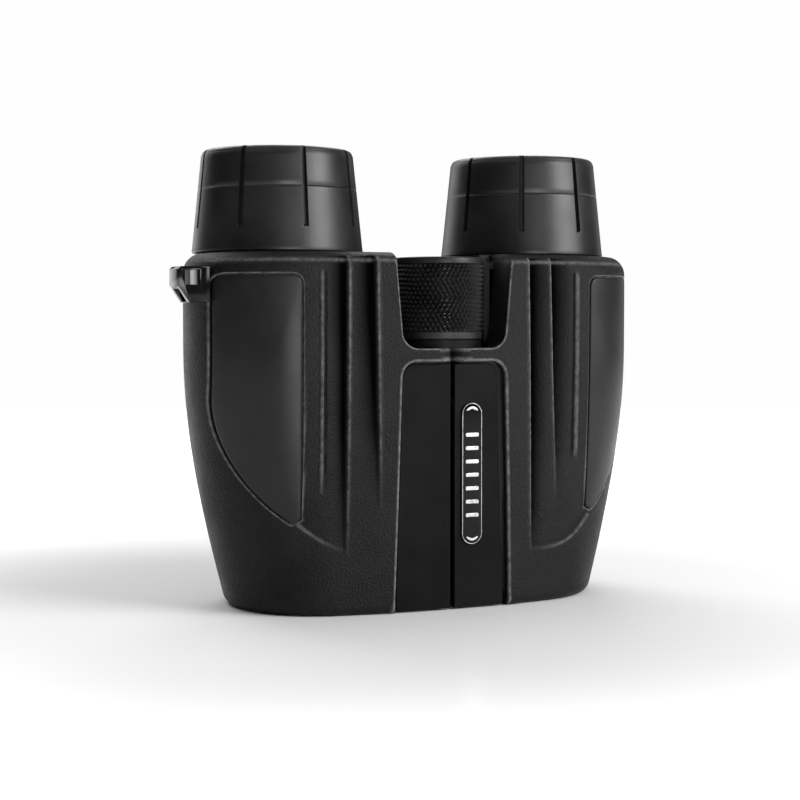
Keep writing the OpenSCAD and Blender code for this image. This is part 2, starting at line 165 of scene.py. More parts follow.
def cylinder(name, x, y, r, low, high, mirror=False):
    points, faces = loft([circle(x, y, r, low), circle(x, y, r, high)])
    return mesh_object(name, points, faces, mirror)


def closed_faces(count, size):
    """Faces between count closed sections of size points each, the last one joined to the first."""
    faces = []
    for i in range(count):
        for j in range(size):
            a = i * size + j
            b = i * size + (j + 1) % size
            shift = (i + 1) % count * size - i * size
            faces.append((a, a + shift, b + shift, b))
    return faces


def lathe(name, profile):
    """A closed profile of (radius, height) turned about the hinge axis."""
    count = 128
    points = []
    for i in range(count):
        angle = 2 * math.pi * i / count
        points += [(r * math.cos(angle), r * math.sin(angle), z) for r, z in profile]
    return mesh_object(name, points, closed_faces(count, len(profile)))


def arc_points(x, y, r, start, end, steps):
    """Points on an arc in a plane; the angles are in degrees."""
    angles = np.radians(np.linspace(start, end, steps + 1))
    return [(x + r * math.cos(a), y + r * math.sin(a)) for a in angles]


def resample(outline, count):
    """Points at even steps along a closed outline."""
    outline = np.asarray(outline, dtype=float)
    closed = np.vstack([outline, outline[:1]])
    lengths = np.hypot(*np.diff(closed, axis=0).T)
    along = np.concatenate([[0], np.cumsum(lengths)])
    at = np.linspace(0, along[-1], count, endpoint=False)
    return np.stack([np.interp(at, along, closed[:, 0]), np.interp(at, along, closed[:, 1])], axis=1)


def outward(outline):
    """Unit vectors that point out of a closed anticlockwise outline."""
    step = np.roll(outline, -1, axis=0) - np.roll(outline, 1, axis=0)
    step /= np.hypot(step[:, 0], step[:, 1])[:, None]
    return np.stack([step[:, 1], -step[:, 0]], axis=1)


# Casing surface: plan of one half is three rounds joined by straight walls

def side_w(z):
    return FOOT_W + (SHOULDER_W - FOOT_W) * math.sin(math.pi / 2 * min(z / SHOULDER_Z, 1))


def barrel_r(z):
    return BARREL_FOOT_R + (BARREL_TOP_R - BARREL_FOOT_R) * min(z / SHOULDER_Z, 1)


def wall_angle(a, b):
    """Angle of the outward normal where a straight wall leaves round a for round b."""
    reach = math.hypot(b[0] - a[0], b[1] - a[1])
    return math.atan2(b[1] - a[1], b[0] - a[0]) - math.acos((a[2] - b[2]) / reach)


def casing_rounds(z, inset=0):
    """The barrel, rear and front rounds (x, y, radius) and the angles of the walls between them."""
    r = barrel_r(z)
    barrel = (side_w(z) - r, BARREL_Y, r - inset)
    rear = (REAR_CORNER[0], REAR_CORNER[1], max(REAR_CORNER[2] - inset, LEAST_R))
    front = (FRONT_CORNER[0], FRONT_CORNER[1], max(FRONT_CORNER[2] - inset, LEAST_R))
    a = wall_angle(front, barrel)
    b = wall_angle(barrel, rear)
    c = wall_angle(rear, front) + 2 * math.pi
    return barrel, rear, front, a, b, c


def on_round(centre, angle, lift):
    r = centre[2] + lift
    return centre[0] + r * math.cos(angle), centre[1] + r * math.sin(angle)


def front_point(x, z, lift=0):
    """Point on the casing's front at x and height z, moved outwards by lift."""
    barrel, _, front, a, _, _ = casing_rounds(z)
    tangent_x = barrel[0] + barrel[2] * math.cos(a)
    if x > tangent_x:
        angle = -math.acos(min((x - barrel[0]) / barrel[2], 1))
        px, py = on_round(barrel, angle, lift)
        return px, py, z
    wall_x, wall_y = on_round(front, a, lift)
    start_x, _ = on_round(front, a, 0)
    along = (x - start_x) / -math.sin(a)
    return wall_x - along * math.sin(a), wall_y + along * math.cos(a), z


def quarter(t):
    """Fall of a quarter ellipse: 0 at t = 0, 1 at t = 1."""
    t = np.clip(t, 0, 1)
    return 1 - np.sqrt(1 - t * t)


def shoulder_start(x):
    """Height where the top edge starts to round over; lower towards the side."""
    inner_x, outer_x, inner_z, outer_z = 20, 32, 82.0, 80.2
    return np.interp(x, [inner_x, outer_x], [inner_z, outer_z])


def edge_inset(x, z):
    """How far the rounded foot and shoulder draw the casing in."""
    start = shoulder_start(x)
    top = TOP_ROUND_IN * quarter((z - start) / (BODY_H - start))
    foot = FOOT_ROUND_IN * quarter(1 - z / FOOT_ROUND_H)
    return np.maximum(top, foot)


def soft_max(a, b):
    """The larger of two values, with a soft change from one to the other."""
    blend = 0.12
    return 0.5 * (a + b + np.sqrt((a - b) ** 2 + blend ** 2) - blend)


def smooth_step(t):
    t = np.clip(t, 0, 1)
    return t * t * (3 - 2 * t)


# Pleats: going outwards each line steps back and then ramps forward to the next line

PLEATS = {
    "right": {
        "lines": [([14, 82], [21.0, 19.8]), ([25, 37, 57, 81], [28.1, 27.5, 26.6, 25.9]),
                  ([30, 80], [31.8, 31.8])],
        "depths": [([11.5, 14, 24, 45, 70], [0, 0.35, 1.1, 1.6, 1.65]), ([24, 45, 70], [0, 1.0, 1.5])],
        "sharpness": [([14, 45, 75], [5, 2.2, 1.1]), ([24, 45, 75], [3, 1.5, 1.0])],
        "step_w": 0.8,
        "bar": (32.9, 34.3, 34),
        "crease": (21.2, 38.5, 13.5, 20.7, 3),
    },
    "left": {
        "lines": [([27, 82], [18.6, 19.5]), ([17, 81], [26.6, 26.3]),
                  ([28, 44, 58, 80], [33.4, 32.3, 32.0, 32.4])],
        "depths": [([24, 45, 70], [0, 1.15, 1.6]), ([13.5, 16, 26, 45, 70], [0, 0.3, 0.85, 1.4, 1.55])],
        "sharpness": [([24, 45, 75], [3, 1.5, 1.0]), ([16, 45, 75], [4, 2, 1.1])],
        "step_w": 1.2,
        "bar": (32.6, 33.6, 28),
        "crease": (27.0, 39.4, 15.7, 23.1, 1.5),
    },
}
CREASE_DEPTH, CREASE_FADE, CREASE_H = 0.75, 9, 0.5
BAR_H, BAR_TOP_Z, BAR_FOOT_FADE, BAR_TOP_FADE = 0.28, 81, 4, 1.2
BAR_END_Z, BAR_END_FADE = 79, 3
GROOVE_DEPTH, GROOVE_W, GROOVE_INNER_FADE, GROOVE_OUTER_FADE = 0.3, 0.8, 0.4, 0.3
# Pleat depth at which the painted shade in the hollows is full, and height of the painted highlight along the
# shoulder.
HOLLOW_FULL, SHOULDER_HIGHLIGHT_Z = 1.3, 83


def line_x(pleats, index, z):
    heights, places = pleats["lines"][index]
    return float(np.interp(z, heights, places))


def pleat_recess(pleats, x, z):
    """Depth of the pleats below the plain surface at x (an array) and height z."""
    depth = np.zeros_like(x)
    for i in range(2):
        start = line_x(pleats, i, z)
        end = line_x(pleats, i + 1, z)
        deep = np.interp(z, *pleats["depths"][i])
        power = np.interp(z, *pleats["sharpness"][i])
        step_w = pleats["step_w"]
        ramp = np.clip((x - start - step_w) / (end - start - step_w), 0, 1)
        depth += deep * smooth_step((x - start) / step_w) * (1 - ramp) ** power * (x < end)
    return depth


def bar_lift(pleats, x, z):
    """A slim rounded bar beyond the last pleat, with a shallow groove before it."""
    inner, outer, foot_z = pleats["bar"]
    present = smooth_step((z - foot_z) / BAR_FOOT_FADE) * smooth_step((BAR_TOP_Z - z) / BAR_TOP_FADE)
    t = np.clip((x - inner) / (outer - inner), 0, 1)
    bar = BAR_H * np.sqrt(np.maximum(4 * t * (1 - t), 0))
    start = smooth_step((x - inner + GROOVE_W) / GROOVE_INNER_FADE)
    groove = GROOVE_DEPTH * start * smooth_step((inner - x) / GROOVE_OUTER_FADE)
    return present * (bar - groove)


def crease_recess(pleats, x, z):
    """The foot of the casing stands proud below a curved crease that ends at the side panel's tip."""
    inner, outer, low, high, power = pleats["crease"]
    t = np.clip((x - inner) / (outer - inner), 0, 1)
    crease_z = low + (high - low) * t ** power
    above = smooth_step((z - crease_z) / CREASE_H) * np.exp(-np.maximum(z - crease_z, 0) / CREASE_FADE)
    inside = np.clip((outer + 0.6 - x) / 0.6, 0, 1)
    return CREASE_DEPTH * t ** 0.7 * above * inside


def front_columns(pleats, z):
    """X of the mesh columns across the front, close together where the pleats step."""
    barrel, _, front, a, _, _ = casing_rounds(z)
    start = front[0] + front[2] * math.cos(a)
    end = barrel[0] + barrel[2] * math.cos(FRONT_END)
    step_w = pleats["step_w"]
    knots = [start]
    counts = []
    for i in range(2):
        line = line_x(pleats, i, z)
        knots += [line - 0.3, line + step_w + 0.2]
        counts += [20 if i == 0 else 12, 12]
    last = line_x(pleats, 2, z)
    knots += [last - 0.2, last + 2.9, end]
    counts += [12, 26, 26]
    columns = [np.linspace(knots[i], knots[i + 1], counts[i], endpoint=False) for i in range(len(counts))]
    return np.append(np.concatenate(columns), end)


def armour_ring(pleats, z):
    """One level of the armour's outer surface, anticlockwise."""
    barrel, rear, front, a, b, c = casing_rounds(z)
    xs = front_columns(pleats, z)
    recess = pleat_recess(pleats, xs, z) + crease_recess(pleats, xs, z)
    bar = bar_lift(pleats, xs, z) * (1 - quarter((z - BAR_END_Z) / BAR_END_FADE))
    lifts = bar - soft_max(edge_inset(xs, z), recess)
    ring = [front_point(x, z, lift) for x, lift in zip(xs, lifts)]
    inset = float(edge_inset(SHOULDER_W, z))
    for angle in np.linspace(FRONT_END, b, 49)[1:]:
        ring.append((*on_round(barrel, angle, -inset), z))
    ring += straight(barrel, rear, b, inset, z, 6)
    for angle in np.linspace(b, c, 10):
        ring.append((*on_round(rear, angle, -inset), z))
    ring += straight(rear, front, c, inset, z, 8)
    corner_inset = min(inset, front[2] - LEAST_R)
    for angle in np.linspace(c, a + 2 * math.pi, 9)[:-1]:
        ring.append((*on_round(front, angle, -corner_inset), z))
    return ring


def straight(start, end, angle, inset, z, count):
    """Points inside the straight wall that joins two rounds."""
    a = np.array(on_round(start, angle, -inset))
    b = np.array(on_round(end, angle, -inset))
    return [(*(a + (b - a) * t), z) for t in np.linspace(0, 1, count + 2)[1:-1]]


def armour_levels():
    bands = [(0, 2.4, 9), (2.4, 12, 10), (12, 25, 52), (25, 78, 64), (78, 85, 44)]
    levels = [np.linspace(low, high, count, endpoint=False) for low, high, count in bands]
    return np.append(np.concatenate(levels), BODY_H)


def casing_core(side, inset):
    """The plain casing shape drawn in by inset, used to hollow out the armour."""
    levels = [(0, 1.9), (0.7, 0.7), (2.4, 0), (15, 0), (30, 0), (45, 0), (62, 0), (82.3, 0),
              (83.7, 1.2), (85, 4.5)]
    rings = []
    for level, edge in levels:
        z = inset + level * (BODY_H - 2 * inset) / BODY_H
        barrel, rear, front, a, b, c = casing_rounds(level, edge + inset)
        ring = [(*on_round(barrel, angle, 0), z) for angle in np.linspace(a, b, 48)]
        ring += [(*on_round(rear, angle, 0), z) for angle in np.linspace(b, c, 8)]
        ring += [(*on_round(front, angle, 0), z) for angle in np.linspace(c, a + 2 * math.pi, 8)]
        rings.append(ring)
    points, faces = loft(rings)
    return mesh_object(side + "_core", points, faces, side == "left")


# Outlines on the front, as (x, z), anticlockwise when seen from the front

def pocket_outline():
    """Finger mouth of the focus pocket, both halves."""
    low = arc_points(POCKET_LOW_W - POCKET_CORNER_R, POCKET_Z + POCKET_CORNER_R, POCKET_CORNER_R,
                     -90, -6, 10)
    right = low + [(POCKET_HIGH_W + 0.3, BODY_H + OPEN_END)]
    left = [(-x, z) for x, z in reversed(right)]
    return right + left


def recess_outline():
    """Centre recess, both halves; it runs out through the foot."""
    corner = arc_points(RECESS_HIGH_W - RECESS_CORNER_R, RECESS_TOP_Z - RECESS_CORNER_R,
                        RECESS_CORNER_R, RECESS_LEAN, 90, 10)
    right = [(RECESS_LOW_W, -6)] + corner
    left = [(-x, z) for x, z in reversed(right)]
    return right + left


def side_outline():
    """D-shaped side panel, with its point at the lower inner corner."""
    bulge = SIDE_OUTER_X - SIDE_INNER_X
    radius = (bulge ** 2 + (SIDE_ARC_Z - SIDE_TIP_Z) ** 2) / (2 * bulge)
    centre_x = SIDE_OUTER_X - radius
    tip_angle = math.degrees(math.asin((SIDE_TIP_Z + 1.2 - SIDE_ARC_Z) / radius))
    corner = 2.2
    outline = arc_points(centre_x, SIDE_ARC_Z, radius, tip_angle, 0, 60)
    outline += arc_points(SIDE_OUTER_X - corner, SIDE_TOP_Z - corner, corner, 0, 90, 8)
    outline += arc_points(SIDE_INNER_X + corner, SIDE_TOP_Z - corner, corner, 90, 180, 8)
    outline += [(SIDE_INNER_X, SIDE_TIP_Z + 2)]
    return outline


def fillet_rings(radius, steps=4):
    """Depth and outward offset of a rounded edge, from inside the hole to the surface."""
    angles = np.linspace(0, math.pi / 2, steps + 1)
    return [(radius - radius * math.sin(a), radius - radius * math.cos(a)) for a in angles]


def front_cutter(name, outline, deep_y, round_r):
    """Cuts an outline through the front skin from outside to deep_y, and rounds the edge it leaves."""
    points = resample(outline, 240)
    normals = outward(points)
    levels = [(None, 0.0)] + fillet_rings(round_r) + [(-2.0, round_r), (-12.0, round_r)]
    rings = []
    for depth, offset in levels:
        ring = []
        for point, normal in zip(points, normals):
            x = point[0] + normal[0] * offset
            z = point[1] + normal[1] * offset
            y = deep_y if depth is None else casing_front_y(abs(x), z) + depth
            ring.append((x, y, z))
        rings.append(ring)
    mesh_points, faces = loft(rings)
    return mesh_object(name, mesh_points, faces)


def casing_front_y(x, z):
    """Depth of the plain front surface."""
    x = max(x, FRONT_CORNER[0])
    return front_point(x, min(max(z, 0), BODY_H))[1]


def side_cutter(side):
    """Cuts the bed of the side panel, with a rounded edge."""
    points = resample(side_outline(), 200)
    normals = outward(points)
    bed, outside = -1.05, 0.8
    levels = [(bed, SIDE_GAP), (-SIDE_ROUND, SIDE_GAP)]
    levels += [(-depth, SIDE_GAP + offset) for depth, offset in fillet_rings(SIDE_ROUND)]
    levels += [(outside, SIDE_GAP + SIDE_ROUND)]
    rings = []
    for lift, offset in levels:
        moved = points + normals * offset
        rings.append([front_point(x, z, lift) for x, z in moved])
    rings = side_bed(points, normals, bed) + rings + side_bed(points, normals, outside)[::-1]
    mesh_points, faces = loft(rings)
    return mesh_object(side + "_side_cutter", mesh_points, faces, side == "left")


def side_bed(points, normals, lift):
    """Rings that fill the side panel's outline and follow the casing, from the middle outwards."""
    centre = points.mean(axis=0)
    rings = []
    for share in (0.08, 0.25, 0.45, 0.65, 0.82, 0.94):
        shrunk = centre + (points + normals * SIDE_GAP - centre) * share
        rings.append([front_point(x, z, lift) for x, z in shrunk])
    return rings


# Armour

def build_armour(side):
    pleats = PLEATS[side]
    mirror = side == "left"
    rings = [armour_ring(pleats, z) for z in armour_levels()]
    points, faces = loft(rings)
    armour = mesh_object(side + "_armour_skin", points, faces, mirror)
    cutters = [
        casing_core(side, ARMOUR_T),
        cylinder("pocket_well", 0, 0, POCKET_R, POCKET_Z, BODY_H + OPEN_END),
        front_cutter("pocket_mouth", pocket_outline(), 2, POCKET_ROUND),
        front_cutter("recess", recess_outline(), 0, RECESS_ROUND),
        side_cutter(side),
        cylinder("hinge_clear", 0, 0, KNUCKLE_CLEAR_R, -CUT_OVER, POCKET_Z + CUT_OVER),
        cylinder("bezel_hole", OBJECTIVE_X, OBJECTIVE_Y, BEZEL_HOLE_R, -CUT_OVER, BEZEL_HOLE_TOP_Z, mirror),
        cylinder("seat_hole", EYE_X, EYE_Y, SEAT_HOLE_R, BODY_H - 5, BODY_H + 5, mirror),
        arm_window(mirror),
    ]
    carve(armour, cutters)
    smooth(armour)
    # Masks for the painted highlight on edges and ridges and for the painted shade in the pleats.
    mark_painted_light(armour, pleats)
    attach(armour, side + "_half")
    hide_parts(side + "_armour")
    return armour


def on_edge(places, outline, radius):
    """1 where an (x, z) place lies on the rounded edge just outside an outline, 0 elsewhere."""
    line = resample(outline, 400)
    normals = outward(line)
    nearest = np.array([np.argmin(np.sum((line - place) ** 2, axis=1)) for place in places])
    offset = np.sum((places - line[nearest]) * normals[nearest], axis=1)
    shares, painted_highlight = [0.02, 0.2, 0.65, 0.97], [0, 1, 1, 0]
    return np.interp(offset / radius, shares, painted_highlight)


def ridge_painted_highlight(pleats, x, z):
    """Painted highlight along the pleats' ridges, the bar, the crease and the shoulder at one vertex."""
    painted_highlight = 0
    for i in range(2):
        depth = np.interp(z, *pleats["depths"][i])
        painted_highlight = max(painted_highlight, 0.55 * depth * math.exp(-((x - line_x(pleats, i, z) - 0.05) / 0.3) ** 2))
    inner, outer, low, high, power = pleats["crease"]
    t = np.clip((x - inner) / (outer - inner), 0, 1)
    crease_z = low + (high - low) * t ** power
    crease = t * (x < outer + 0.5) * math.exp(-((z - crease_z + 0.1) / 0.35) ** 2)
    bar = 0.5 * max(float(bar_lift(pleats, x, z)), 0) / BAR_H
    shoulder = 0.6 * math.exp(-((z - SHOULDER_HIGHLIGHT_Z) / 0.4) ** 2)
    return min(max(painted_highlight, crease, bar, shoulder), 1)


def mark_painted_light(armour, pleats):
    """Stores painted light at each vertex: a painted highlight along ridges and the edges of its openings,
    and the pleat depth that sets the painted shade in their hollows.
    """
    mesh = armour.data
    flat = np.empty(len(mesh.vertices) * 3)
    mesh.vertices.foreach_get("co", flat)
    points = flat.reshape(-1, 3) / MM
    front = np.flatnonzero((points[:, 1] < 9) & (points[:, 2] < 84))
    places = np.stack([np.abs(points[front, 0]), points[front, 2]], axis=1)
    edges = [(pocket_outline(), POCKET_ROUND), (recess_outline(), RECESS_ROUND),
             (side_outline(), SIDE_GAP + SIDE_ROUND)]
    painted_highlight = np.array([ridge_painted_highlight(pleats, x, z) for x, z in places])
    for outline, radius in edges:
        painted_highlight = np.maximum(painted_highlight, on_edge(places, outline, radius))
    # The pleats' depth is the mask for the painted shade in their hollows.
    hollow = np.array([float(pleat_recess(pleats, np.array([x]), z)[0]) for x, z in places])
    store(mesh, "painted_highlight", front, painted_highlight)
    store(mesh, "hollow", front, np.clip(hollow / HOLLOW_FULL, 0, 1))


def store(mesh, name, chosen, values):
    """Keeps one number at each chosen vertex, and 0 at the rest."""
    numbers = np.zeros(len(mesh.vertices))
    numbers[chosen] = values
    mesh.attributes.new(name, "FLOAT", "POINT").data.foreach_set("value", numbers)


def arm_window(mirror):
    """Block from the hinge towards the objective axis, which cuts the focus arm's slot."""
    angle = math.atan2(OBJECTIVE_Y, OBJECTIVE_X)
    along = np.array([math.cos(angle), math.sin(angle)])
    across = np.array([-along[1], along[0]]) * ARM_SLOT_W / 2
    far = along * ARM_SLOT_REACH
    corners = [-across, far - across, far + across, across]
    rings = [[(*corner, z) for corner in corners] for z in ARM_SLOT_Z]
    points, faces = loft(rings)
    return mesh_object("arm_window", points, faces, mirror)


# Inlays: a crowned plate that follows a surface

def inlay(name, outline, surface, rim_r, thickness, crown, mirror=False, count=220):
    """Closed plate on a surface; surface(u, v, lift) gives the point for each (u, v)."""
    points = resample(outline, count)
    normals = outward(points)
    centre = points.mean(axis=0)
    rings = [[surface(*(centre + (points[i] - centre) * 0.03), -thickness) for i in range(count)]]
    rings.append([surface(*point, -thickness) for point in points])
    rings.append([surface(*point, -rim_r) for point in points])
    for depth, offset in fillet_rings(rim_r, 5)[1:]:
        inner = points - normals * offset
        rings.append([surface(*point, -depth) for point in inner])
    inner = points - normals * rim_r
    for share in (0.97, 0.92, 0.85, 0.75, 0.62, 0.48, 0.34, 0.2, 0.08):
        shrunk = centre + (inner - centre) * share
        lift = crown * (1 - share ** 2)
        rings.append([surface(*point, lift) for point in shrunk])
    mesh_points, faces = loft(rings)
    piece = mesh_object(name, mesh_points, faces, mirror)
    smooth(piece, 40)
    return piece


def build_side_panel(side):
    panel = inlay(side + "_side_inlay", side_outline(), front_point, rim_r=0.45, thickness=0.95,
                  crown=0.25, mirror=side == "left")
    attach(panel, side + "_half")
    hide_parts(side + "_side_panel")
    return panel


def centre_outline(edge_gap):
    """Outline of one centre panel, right half."""
    top_w = RECESS_HIGH_W - edge_gap
    low_w = RECESS_LOW_W - edge_gap
    corner_r = RECESS_CORNER_R - edge_gap / 2
    top_gap, foot_z, chamfer = 0.35, 0.45, 0.6
    top_z = RECESS_TOP_Z - top_gap
    outline = [(SEAM, foot_z), (low_w - chamfer, foot_z), (low_w, foot_z + chamfer)]
    outline += arc_points(top_w - corner_r, top_z - corner_r, corner_r, RECESS_LEAN, 90, 10)
    outline += [(SEAM, top_z)]
    return outline


def centre_surface(x, z, lift):
    """Front of the centre panels, which falls back towards the recess's edge."""
    return x, PANEL_FRONT_Y + PANEL_FALL * x / RECESS_LOW_W - lift, z


def build_centre_panel(side):
    outline = centre_outline(1.3 if side == "right" else 0.5)
    panel = inlay(side + "_spine_panel", outline, centre_surface, rim_r=0.3, thickness=0.85,
                  crown=0.05, mirror=side == "left", count=260)
    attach(panel, side + "_half")
    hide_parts(side + "_centre_panel")
    return panel


# Eyecups

def cup_outer_r(z):
    """Radius of the eyecup's outside at height z."""
    t = (z - CUP_FOOT_Z) / (CUP_TOP_Z - CUP_FOOT_Z)
    return CUP_FOOT_R - (CUP_FOOT_R - CUP_RIM_R) * t


def cup_profile():
    """Outside, rim and bore as (radius, height); the flag says which points the slots may cut."""
    foot_r = cup_outer_r(CUP_FOOT_Z)
    profile = [(CUP_SEAT_R + 2.4, CUP_FOOT_Z, False), (foot_r - 1.0, CUP_FOOT_Z, False)]
    for radius, height in arc_points(foot_r - 0.5, CUP_FOOT_Z + 0.5, 0.5, -90, 0, 4):
        profile.append((radius, height, False))
    heights = [np.linspace(86.5, 90.2, 4), np.linspace(90.6, 92, 8), np.linspace(93, 100, 8)]
    for z in np.concatenate(heights):
        profile.append((cup_outer_r(z), z, True))
    for rise, sink in ((-0.2, 0), (-0.08, 0.06), (0, 0.16), (0.08, 0.06), (0.2, 0)):
        z = CUP_PARTING_Z + rise
        profile.append((cup_outer_r(z) - sink, z, True))
    lip_r = 1.3
    for z in np.linspace(102, CUP_TOP_Z - lip_r, 7):
        profile.append((cup_outer_r(z), z, True))
    for radius, height in arc_points(CUP_RIM_R - lip_r, CUP_TOP_Z - lip_r, lip_r, 8, 90, 8):
        profile.append((radius, height, True))
    mouth_r = 0.6
    for radius, height in arc_points(CUP_BORE_R + mouth_r, CUP_TOP_Z - mouth_r, mouth_r, 90, 180, 5):
        profile.append((radius, height, True))
    step_r, seat_z = CUP_BORE_R - 0.4, CUP_FOOT_Z + 1.4
    inside = [(CUP_BORE_R, 104), (step_r, 103.9), (step_r, 96), (CUP_SEAT_R, 95.5), (CUP_SEAT_R, seat_z),
              (CUP_SEAT_R + 2.4, seat_z)]
    profile += [(radius, height, False) for radius, height in inside]
    return profile


def slot_angles():
    """Angles of the columns: close together at each slot's edges."""
    half = SLOT_W / 2 / CUP_RIM_R
    near = [-1.5, -1.15, -1.03, -0.95, -0.85, 0, 0.85, 0.95, 1.03, 1.15, 1.5]
    pitch = 2 * math.pi / SLOTS
    angles = []
    for i in range(SLOTS):
        centre = -math.pi / 2 + i * pitch
        angles += [centre + half * share for share in near]
        plain = np.linspace(centre + half * 1.5, centre + pitch - half * 1.5, 12)[1:-1]
        angles += list(plain)
    return angles


def slot_share(angle, z):
    """How deep a slot is at an angle and height, from 0 to 1."""
    pitch = 2 * math.pi / SLOTS
    away = (angle + math.pi / 2 + pitch / 2) % pitch - pitch / 2
    across = abs(away) * CUP_RIM_R / (SLOT_W / 2)
    wall_end, wall_w, foot_h = 1.12, 0.24, 0.5
    rise = (z - SLOT_FOOT_Z) / foot_h
    return float(smooth_step((wall_end - across) / wall_w) * smooth_step(rise))


def build_eyecup(side, turn, body):
    profile = cup_profile()
    points = []
    for angle in slot_angles():
        for r, z, cuttable in profile:
            if cuttable:
                floor_r = cup_outer_r(z) - SLOT_DEPTH
                share = slot_share(angle, z)
                r = min(r, r + (floor_r - r) * share)
            points.append((EYE_X + r * math.cos(angle + turn), EYE_Y + r * math.sin(angle + turn), z))
    size = len(profile)
    faces = closed_faces(len(points) // size, size)
    cup = mesh_object(side + "_slotted_cup", points, faces, side == "left")
    smooth(cup, 50)
    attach(cup, body)
    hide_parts(side + "_eyecup")
    return cup


# Focus knob

def build_knob_grip():
    """Sleeve with rows of small diamond studs, every other row shifted by half a stud."""
    around, rows, cells = 56, 15, 6
    groove, end_gap, reach, flat = 0.65, 0.05, 1.25, 0.85
    low = KNOB_Z + FLANGE_H + end_gap
    high = KNOB_Z + KNOB_H - TOP_FLANGE_H - end_gap
    base_r = KNOB_R - groove
    heights = np.linspace(low, high, rows * cells + 1)
    angles = np.linspace(0, 2 * math.pi, around * cells, endpoint=False)
    rings = []
    for z in heights:
        row = (z - low) / (high - low) * rows
        v = (row % 1) * 2 - 1
        shift = 0.5 * (int(row) % 2)
        u = ((angles / (2 * math.pi) * around + shift) % 1) * 2 - 1
        stud = np.clip(reach - np.abs(u) - abs(v), 0, flat) / flat
        r = base_r + (KNOB_R - base_r) * stud
        rings.append(np.stack([r * np.cos(angles), r * np.sin(angles), np.full_like(angles, z)], axis=1))
    inner_low = np.array(circle(0, 0, CORE_R + 0.05, low, around * cells))
    inner_high = np.array(circle(0, 0, CORE_R + 0.05, high, around * cells))
    points, faces = loft([inner_low] + rings + [inner_high], caps=False)
    count = around * cells
    last = (len(rings) + 1) * count
    for j in range(count):
        k = (j + 1) % count
        faces.append((last + j, last + k, k, j))
    grip = mesh_object("knob_knurl", points, faces)
    smooth(grip, 25)
    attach(grip, "focus_knob")
    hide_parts("focus_knob_grip")
    return grip


def build_knob_core():
    """Knob body with softly rounded flanges."""
    top = KNOB_Z + KNOB_H
    low_r, high_r, edge = KNOB_R - 0.4, KNOB_R - 0.3, 0.45
    profile = [(SCREW_HOLE_R, KNOB_Z), (low_r - edge, KNOB_Z)]
    profile += arc_points(low_r - edge, KNOB_Z + edge, edge, -90, 0, 4)
    low_z, high_z, chamfer = KNOB_Z + FLANGE_H, top - TOP_FLANGE_H, 0.2
    profile += [(low_r, low_z - chamfer), (low_r - chamfer, low_z), (CORE_R, low_z)]
    profile += [(CORE_R, high_z), (high_r - chamfer, high_z), (high_r, high_z + chamfer)]
    profile += arc_points(high_r - edge, top - edge, edge, 0, 90, 4)
    cap_seat_z = top - 1
    profile += [(CORE_R - 0.9, top), (CORE_R - 1.15, top - 0.25), (CORE_R - 1.2, cap_seat_z)]
    profile += [(SCREW_HOLE_R, cap_seat_z)]
    core = lathe("knob_core", profile)
    smooth(core, 35)
    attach(core, "focus_knob")
    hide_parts("focus_knob_core")
    return core


def build_knob_cap():
    """Shallow dished cap in the knob's top."""
    top = KNOB_Z + KNOB_H
    r = CORE_R - 1.3
    middle_r, under_z, rim_z = 0.01, top - 0.95, top + 0.12
    profile = [(middle_r, under_z), (r, under_z), (r, top - 0.1), (r - 0.25, rim_z)]
    profile += [(r - 1.2, rim_z), (r - 1.6, top - 0.1), (middle_r, top - 0.25)]
    cap = lathe("knob_cap", profile)
    smooth(cap, 30)
    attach(cap, "focus_knob")
    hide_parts("focus_knob_cap")
    return cap


# Badge and strap lug

BADGE_X, BADGE_R, BADGE_LOW, BADGE_HIGH = 4.9, 2.8, 18.2, 46.8
BADGE_LIFT, MARK_LIFT, MARK_ROUND, MARK_T = 0.45, 0.12, 0.04, 0.15
BAR_COUNT, FIRST_BAR_Z, BAR_PITCH = 7, 22.6, 3.2
LUG_INNER_X = -SIDE_OUTER_X - 0.45
LUG_OUTLINE = [(-63, 77.1), (-60.4, 73.2), (LUG_INNER_X, 73.2), (LUG_INNER_X, 81.5),
               (-62.4, 81.5), (-63, 80.9)]
LUG_WINDOW = [(-61.5, 77.3), (-58, 77.3), (-58, 80.7), (-61.5, 80.7)]
LUG_MOUTH = [(-64, 73), (-60, 73.4), (-59.6, 76.4), (-64, 76.4)]
LUG_FRONT_Y, LUG_BACK_Y, LUG_ROUND = 5, 13, 0.3


def pill(inset):
    """Outline of the badge, drawn in by inset."""
    outline = arc_points(BADGE_X, BADGE_HIGH, BADGE_R - inset, 0, 180, 16)
    return outline + arc_points(BADGE_X, BADGE_LOW, BADGE_R - inset, 180, 360, 16)


def badge_surface(x, z, lift):
    return x, PANEL_FRONT_Y - BADGE_LIFT - lift, z


def badge_top(x, z, lift):
    """Level of the marks, just above the plate's crown."""
    return badge_surface(x, z, lift + MARK_LIFT)


def build_badge():
    plate = inlay("badge_pill", pill(0.05), badge_surface, rim_r=0.25, thickness=0.4, crown=0.05, count=160)
    rim = band("badge_rim", pill(0.3), width=0.14, height=0.06)
    ends = ((BADGE_HIGH, 90), (BADGE_LOW, 270))
    marks = [crescent("badge_crescent_%d" % i, z, angle) for i, (z, angle) in enumerate(ends)]
    bars = [badge_bar(i) for i in range(BAR_COUNT)]
    for piece in [rim] + marks + bars:
        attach(piece, "right_half")
    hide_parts("badge_bars")
    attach(plate, "right_half")
    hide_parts("badge_plate")
    return plate, [rim] + marks + bars


